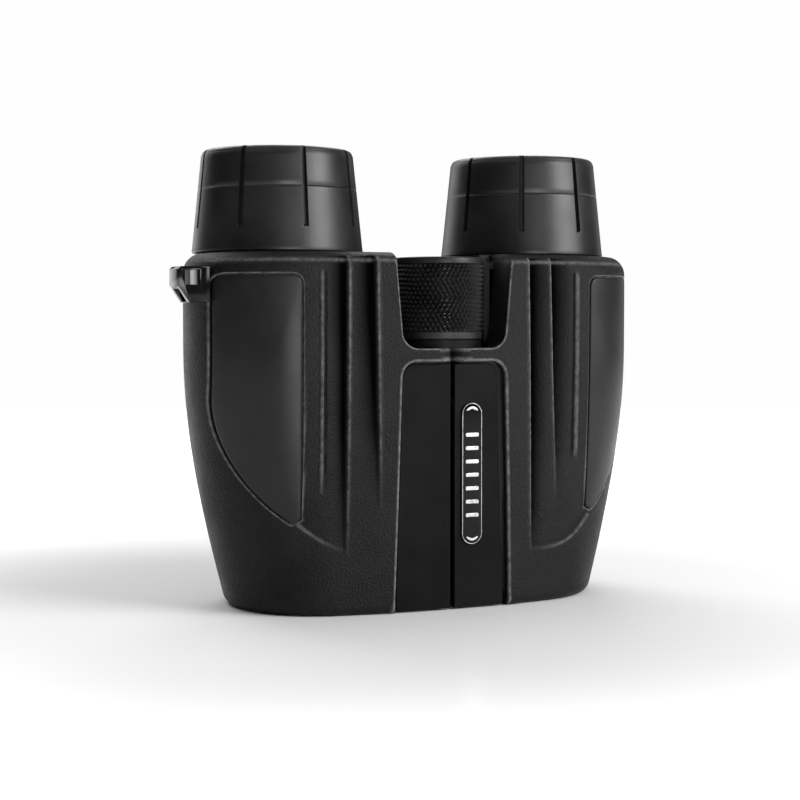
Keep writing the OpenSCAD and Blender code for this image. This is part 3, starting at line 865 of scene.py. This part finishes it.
def band(name, outline, width, height):
    """Raised line that follows a closed outline on the badge."""
    count = 160
    points = resample(outline, count)
    normals = outward(points)
    section = [(-0.5, -0.05), (-0.3, 0.8), (0, 1), (0.3, 0.8), (0.5, -0.05)]
    places = []
    for point, normal in zip(points, normals):
        for across, lift in section:
            x, z = point + normal * across * width
            places.append(badge_surface(x, z, lift * height))
    # The section runs the other way round here, so the faces are turned over.
    faces = [face[:1] + face[:0:-1] for face in closed_faces(count, len(section))]
    piece = mesh_object(name, places, faces)
    smooth(piece, 50)
    return piece


def crescent(name, z, middle):
    """Crescent inside one end of the badge."""
    outer_r, outer_reach, inner_r, inner_reach, sink = 1.75, 62, 1.95, 40, 0.75
    outer = arc_points(BADGE_X, z, outer_r, middle - outer_reach, middle + outer_reach, 20)
    shift = sink if middle < 180 else -sink
    inner = arc_points(BADGE_X, z - shift, inner_r, middle + inner_reach, middle - inner_reach, 20)
    return inlay(name, outer + inner, badge_top, MARK_ROUND, MARK_T, crown=0.02, count=96)


def badge_bar(index):
    """One plain bar of the badge."""
    z = FIRST_BAR_Z + BAR_PITCH * index
    w, h, r = 1.7, 0.45, 0.3
    corners = [(BADGE_X + w - r, z - h + r, -90), (BADGE_X + w - r, z + h - r, 0),
               (BADGE_X - w + r, z + h - r, 90), (BADGE_X - w + r, z - h + r, 180)]
    outline = []
    for x, height, start in corners:
        outline += arc_points(x, height, r, start, start + 90, 4)
    return inlay("badge_bar_%d" % index, outline, badge_top, MARK_ROUND, MARK_T, crown=0.03, count=64)


def build_strap_lug():
    """Glossy loop for the wrist strap on the left shoulder."""
    lug = prism("strap_loop", LUG_OUTLINE, LUG_FRONT_Y, LUG_BACK_Y)
    window = prism("lug_window", LUG_WINDOW, LUG_FRONT_Y - 1, LUG_BACK_Y + 1)
    mouth = prism("lug_mouth", LUG_MOUTH, LUG_FRONT_Y + 2.2, LUG_BACK_Y - 1.6)
    carve(lug, [window, mouth])
    bevel = lug.modifiers.new("edge", "BEVEL")
    bevel.width = LUG_ROUND * MM
    bevel.segments = 3
    bevel.limit_method = "ANGLE"
    bevel.angle_limit = math.radians(40)
    apply_modifiers(lug)
    carve(lug, [casing_core("left", LUG_ROUND)])
    smooth(lug, 35)
    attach(lug, "left_half")
    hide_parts("strap_lug")
    return lug


def prism(name, outline, low_y, high_y):
    """Straight block over an (x, z) outline."""
    rings = [[(x, y, z) for x, z in outline] for y in (high_y, low_y)]
    points, faces = loft(rings)
    return mesh_object(name, points, faces)


# Materials

def principled(name, colour, roughness, **values):
    """A plain material; values are the shader's own sockets."""
    material = bpy.data.materials.new(name)
    material.use_nodes = True
    shader = material.node_tree.nodes["Principled BSDF"]
    shader.inputs["Base Color"].default_value = (*colour, 1)
    shader.inputs["Roughness"].default_value = roughness
    for socket, value in values.items():
        shader.inputs[socket.replace("_", " ")].default_value = value
    return material


def add_grain(material, size_mm, height_mm, strength):
    """Fine procedural bumps, in object space so that they stay on the part as it moves."""
    nodes, links = material.node_tree.nodes, material.node_tree.links
    shader = nodes["Principled BSDF"]
    place = nodes.new("ShaderNodeTexCoord")
    noise = nodes.new("ShaderNodeTexNoise")
    noise.inputs["Scale"].default_value = 1 / (size_mm * MM)
    noise.inputs["Detail"].default_value = 2
    bump = nodes.new("ShaderNodeBump")
    bump.inputs["Strength"].default_value = strength
    bump.inputs["Distance"].default_value = height_mm * MM
    links.new(place.outputs["Object"], noise.inputs["Vector"])
    links.new(noise.outputs["Fac"], bump.inputs["Height"])
    links.new(bump.outputs["Normal"], shader.inputs["Normal"])


MOTTLE_LOW, MOTTLE_HIGH = 0.35, 0.65


def add_mottle(material, size_mm, colour_low, colour_high, rough_low, rough_high):
    """Slow procedural change of colour and roughness, as on handled rubber and plastic."""
    nodes, links = material.node_tree.nodes, material.node_tree.links
    shader = nodes["Principled BSDF"]
    place = nodes.new("ShaderNodeTexCoord")
    noise = nodes.new("ShaderNodeTexNoise")
    noise.inputs["Scale"].default_value = 1 / (size_mm * MM)
    noise.inputs["Detail"].default_value = 4
    colour = nodes.new("ShaderNodeValToRGB")
    colour.color_ramp.elements[0].position = MOTTLE_LOW
    colour.color_ramp.elements[1].position = MOTTLE_HIGH
    colour.color_ramp.elements[0].color = (*colour_low, 1)
    colour.color_ramp.elements[1].color = (*colour_high, 1)
    rough = nodes.new("ShaderNodeMapRange")
    rough.inputs["From Min"].default_value = MOTTLE_LOW
    rough.inputs["From Max"].default_value = MOTTLE_HIGH
    rough.inputs["To Min"].default_value = rough_low
    rough.inputs["To Max"].default_value = rough_high
    links.new(place.outputs["Object"], noise.inputs["Vector"])
    links.new(noise.outputs["Fac"], colour.inputs["Fac"])
    links.new(noise.outputs["Fac"], rough.inputs["Value"])
    links.new(colour.outputs["Color"], shader.inputs["Base Color"])
    links.new(rough.outputs["Result"], shader.inputs["Roughness"])


def add_painted_edge_highlight(material, highlight_colour):
    """Painted highlight: lighter colour, broken up by noise, on the edges and ridges marked on the armour's
    vertices, standing in for their highlights.
    """
    nodes, links = material.node_tree.nodes, material.node_tree.links
    shader = nodes["Principled BSDF"]
    edges = nodes.new("ShaderNodeAttribute")
    edges.attribute_name = "painted_highlight"
    place = nodes.new("ShaderNodeTexCoord")
    noise = nodes.new("ShaderNodeTexNoise")
    noise.inputs["Scale"].default_value = 1 / (1.5 * MM)
    patchy = nodes.new("ShaderNodeMapRange")
    patchy.inputs["From Min"].default_value = 0.3
    patchy.inputs["From Max"].default_value = 0.65
    patchy.inputs["To Min"].default_value = 0.35
    share = nodes.new("ShaderNodeMath")
    share.operation = "MULTIPLY"
    mix = nodes.new("ShaderNodeMix")
    mix.data_type = "RGBA"
    mix.inputs["B"].default_value = (*highlight_colour, 1)
    plain = shader.inputs["Base Color"].links[0].from_socket
    links.new(place.outputs["Object"], noise.inputs["Vector"])
    links.new(noise.outputs["Fac"], patchy.inputs["Value"])
    links.new(edges.outputs["Fac"], share.inputs[0])
    links.new(patchy.outputs["Result"], share.inputs[1])
    links.new(share.outputs["Value"], mix.inputs["Factor"])
    links.new(plain, mix.inputs["A"])
    links.new(mix.outputs["Result"], shader.inputs["Base Color"])


def add_painted_pleat_shade(material, painted_shade_colour, gloss):
    """Painted shade: darker colour and weaker specular reflection down in the pleats, where shade falls."""
    nodes, links = material.node_tree.nodes, material.node_tree.links
    shader = nodes["Principled BSDF"]
    hollow = nodes.new("ShaderNodeAttribute")
    hollow.attribute_name = "hollow"
    mix = nodes.new("ShaderNodeMix")
    mix.data_type = "RGBA"
    mix.inputs["B"].default_value = (*painted_shade_colour, 1)
    level = nodes.new("ShaderNodeMapRange")
    level.inputs["To Min"].default_value = gloss
    level.inputs["To Max"].default_value = 0
    plain = shader.inputs["Base Color"].links[0].from_socket
    links.new(hollow.outputs["Fac"], mix.inputs["Factor"])
    links.new(plain, mix.inputs["A"])
    links.new(mix.outputs["Result"], shader.inputs["Base Color"])
    links.new(hollow.outputs["Fac"], level.inputs["Value"])
    links.new(level.outputs["Result"], shader.inputs["Specular IOR Level"])


def grey(value, tint=0.0):
    return value, value, value * (1 + tint)


def make_materials():
    """One procedural material for each of the record's material slots."""
    armour = principled("armour_rubber", grey(0.008), 0.5)
    add_mottle(armour, 9, grey(0.004, 0.03), grey(0.008, 0.03), 0.42, 0.52)
    # Painted shade darkens the pleats' hollows, and a painted highlight lightens the edges and ridges.
    add_painted_pleat_shade(armour, grey(0.001), 0.12)
    add_painted_edge_highlight(armour, grey(0.13))
    add_grain(armour, 0.45, 0.3, 1.0)
    casing = principled("casing_plastic", grey(0.008), 0.45, Specular_IOR_Level=0.3)
    add_mottle(casing, 7, grey(0.006), grey(0.009), 0.4, 0.5)
    panel = principled("panel_plastic", grey(0.014), 0.42, Specular_IOR_Level=0.22)
    add_mottle(panel, 12, grey(0.006, 0.03), grey(0.011, 0.03), 0.36, 0.44)
    add_grain(panel, 0.15, 0.01, 0.4)
    spine = principled("spine_plastic", grey(0.004), 0.36, Specular_IOR_Level=0.06)
    add_mottle(spine, 10, grey(0.003, 0.05), grey(0.005, 0.05), 0.33, 0.4)
    add_grain(spine, 0.15, 0.01, 0.3)
    gloss = principled("gloss_plastic", grey(0.003), 0.15, Specular_IOR_Level=0.15)
    add_mottle(gloss, 8, grey(0.002), grey(0.004), 0.12, 0.18)
    cup = principled("cup_rubber", grey(0.007), 0.4, Specular_IOR_Level=0.4)
    add_mottle(cup, 9, grey(0.005, 0.03), grey(0.008, 0.03), 0.37, 0.43)
    add_grain(cup, 0.25, 0.012, 0.5)
    grip = principled("grip_rubber", grey(0.004), 0.3, Specular_IOR_Level=0.3)
    add_mottle(grip, 5, grey(0.003), grey(0.006), 0.26, 0.34)
    steel = principled("plated_steel", grey(0.6), 0.25, Metallic=1.0)
    add_mottle(steel, 4, grey(0.55), grey(0.65), 0.2, 0.32)
    spring = principled("spring_steel", grey(0.66), 0.22, Metallic=1.0)
    add_mottle(spring, 3, grey(0.6), grey(0.7), 0.18, 0.28)
    trim = principled("silver_trim", grey(0.5), 0.3, Metallic=1.0)
    add_mottle(trim, 2, grey(0.42), grey(0.58), 0.25, 0.35)
    washer = principled("washer_acetal", grey(0.003), 0.45, Specular_IOR_Level=0.08)
    add_mottle(washer, 3, grey(0.002), grey(0.004), 0.4, 0.5)
    prism_glass = principled("prism_glass", (0.86, 0.92, 0.93), 0.04, Transmission_Weight=0.9, IOR=1.57)
    add_mottle(prism_glass, 6, (0.84, 0.91, 0.92), (0.88, 0.93, 0.94), 0.03, 0.06)
    lens_glass = principled("lens_glass", (0.5, 0.62, 0.72), 0.02, Transmission_Weight=0.85, IOR=1.6)
    add_mottle(lens_glass, 9, (0.42, 0.62, 0.72), (0.55, 0.6, 0.74), 0.015, 0.03)
    return {"rubber_armour": armour, "casing_plastic": casing, "panel_plastic": panel, "spine_plastic": spine,
            "gloss_plastic": gloss, "eyecup_rubber": cup, "grip_rubber": grip, "plated_steel": steel,
            "spring_steel": spring, "silver_trim": trim, "washer_plastic": washer, "prism_glass": prism_glass,
            "coated_glass": lens_glass}


def dress(piece, material):
    """Puts one material all over a new piece."""
    piece.data.materials.clear()
    piece.data.materials.append(material)


def dress_cad_nodes(materials):
    """Gives each CAD node the material of its slot in the record."""
    for row in frame["record"]["subparts"]:
        node = frame["nodes"][row["node"]]
        for slot in node.material_slots:
            slot.link = "OBJECT"
            slot.material = materials[row["material_slot"]]


# Stage, light and camera

FLOOR_R = 900
GLOW_NEAR, GLOW_FAR, GLOW = 90, 250, 0.7
AMBIENT, BACKDROP = 0.01, 0.99


def build_stage():
    """Glossy white floor, a disc that glows towards its edge so that it runs into the white behind it."""
    points, faces = loft([circle(0, 0, FLOOR_R, -0.5, 128), circle(0, 0, FLOOR_R, 0, 128)])
    floor = mesh_object("floor", points, faces)
    material = principled("floor_gloss", grey(0.93), 0.22, Specular_IOR_Level=0.15)
    material.node_tree.nodes["Principled BSDF"].inputs["Emission Color"].default_value = (1, 1, 1, 1)
    add_far_glow(material)
    dress(floor, material)


def add_far_glow(material):
    """Emission that grows with the distance from the object."""
    nodes, links = material.node_tree.nodes, material.node_tree.links
    place = nodes.new("ShaderNodeTexCoord")
    distance = nodes.new("ShaderNodeVectorMath")
    distance.operation = "LENGTH"
    glow = nodes.new("ShaderNodeMapRange")
    glow.interpolation_type = "SMOOTHSTEP"
    glow.inputs["From Min"].default_value = GLOW_NEAR * MM
    glow.inputs["From Max"].default_value = GLOW_FAR * MM
    glow.inputs["To Max"].default_value = GLOW
    links.new(place.outputs["Object"], distance.inputs[0])
    links.new(distance.outputs["Value"], glow.inputs["Value"])
    links.new(glow.outputs["Result"], nodes["Principled BSDF"].inputs["Emission Strength"])


def build_world():
    """White behind the object, and dim all round it so that black surfaces keep their contrast."""
    world = bpy.data.worlds.new("studio")
    bpy.context.scene.world = world
    world.use_nodes = True
    nodes, links = world.node_tree.nodes, world.node_tree.links
    light_path = nodes.new("ShaderNodeLightPath")
    strength = nodes.new("ShaderNodeMapRange")
    strength.inputs["To Min"].default_value = AMBIENT
    strength.inputs["To Max"].default_value = BACKDROP
    links.new(light_path.outputs["Is Camera Ray"], strength.inputs["Value"])
    links.new(strength.outputs["Result"], nodes["Background"].inputs["Strength"])
    nodes["Background"].inputs["Color"].default_value = (1, 1, 1, 1)
    bpy.context.scene.view_settings.view_transform = "Standard"


def area_light(name, location, target, size, power):
    light = bpy.data.lights.new(name, "AREA")
    light.shape = "RECTANGLE"
    light.size, light.size_y = size
    light.energy = power
    lamp = bpy.data.objects.new(name, light)
    lamp.location = location
    lamp.rotation_euler = (Vector(target) - Vector(location)).to_track_quat("-Z", "Y").to_euler()
    bpy.context.scene.collection.objects.link(lamp)


def build_lights():
    middle = (0, 0, 0.055)
    area_light("top_box", (0.0, 0.3, 1.5), (0, 0.1, 0), (3.0, 3.0), 28)
    area_light("key_box", (0.56, -0.6, 0.4), middle, (0.5, 0.5), 10)
    area_light("front_strip", (-0.05, -0.9, 0.06), middle, (0.35, 0.12), 2.4)
    area_light("left_rim", (-0.242, 0.97, 0.25), middle, (0.5, 0.9), 2.5)
    area_light("right_rim", (0.84, 0.545, 0.25), middle, (0.3, 0.9), 0.5)
    area_light("back_strip", (0.1, 0.9, 0.9), middle, (1.2, 0.4), 9)


def build_camera():
    """A view from the front left, a little above the middle, looking slightly down."""
    camera = bpy.data.cameras.new("camera")
    camera.sensor_width = 36
    camera.lens = 75.8
    eye = bpy.data.objects.new("camera", camera)
    eye.location = (-0.1706, -0.3693, 0.0703)
    heading, pitch = math.radians(23.5), math.radians(-2.89)
    eye.rotation_euler = (math.pi / 2 + pitch, 0, -heading)
    bpy.context.scene.collection.objects.link(eye)
    bpy.context.scene.camera = eye


def main():
    materials = make_materials()
    dress_cad_nodes(materials)
    for side in SIDES:
        dress(build_armour(side), materials["rubber_armour"])
        dress(build_side_panel(side), materials["panel_plastic"])
        dress(build_centre_panel(side), materials["spine_plastic"])
    dress(build_eyecup("left", 0, "left_half"), materials["eyecup_rubber"])
    dress(build_eyecup("right", RIGHT_CUP_TURN, "diopter_cup"), materials["eyecup_rubber"])
    dress(build_knob_grip(), materials["grip_rubber"])
    dress(build_knob_core(), materials["casing_plastic"])
    dress(build_knob_cap(), materials["gloss_plastic"])
    plate, trims = build_badge()
    dress(plate, materials["gloss_plastic"])
    for trim in trims:
        dress(trim, materials["silver_trim"])
    dress(build_strap_lug(), materials["gloss_plastic"])
    build_stage()
    build_world()
    build_lights()
    build_camera()


main()
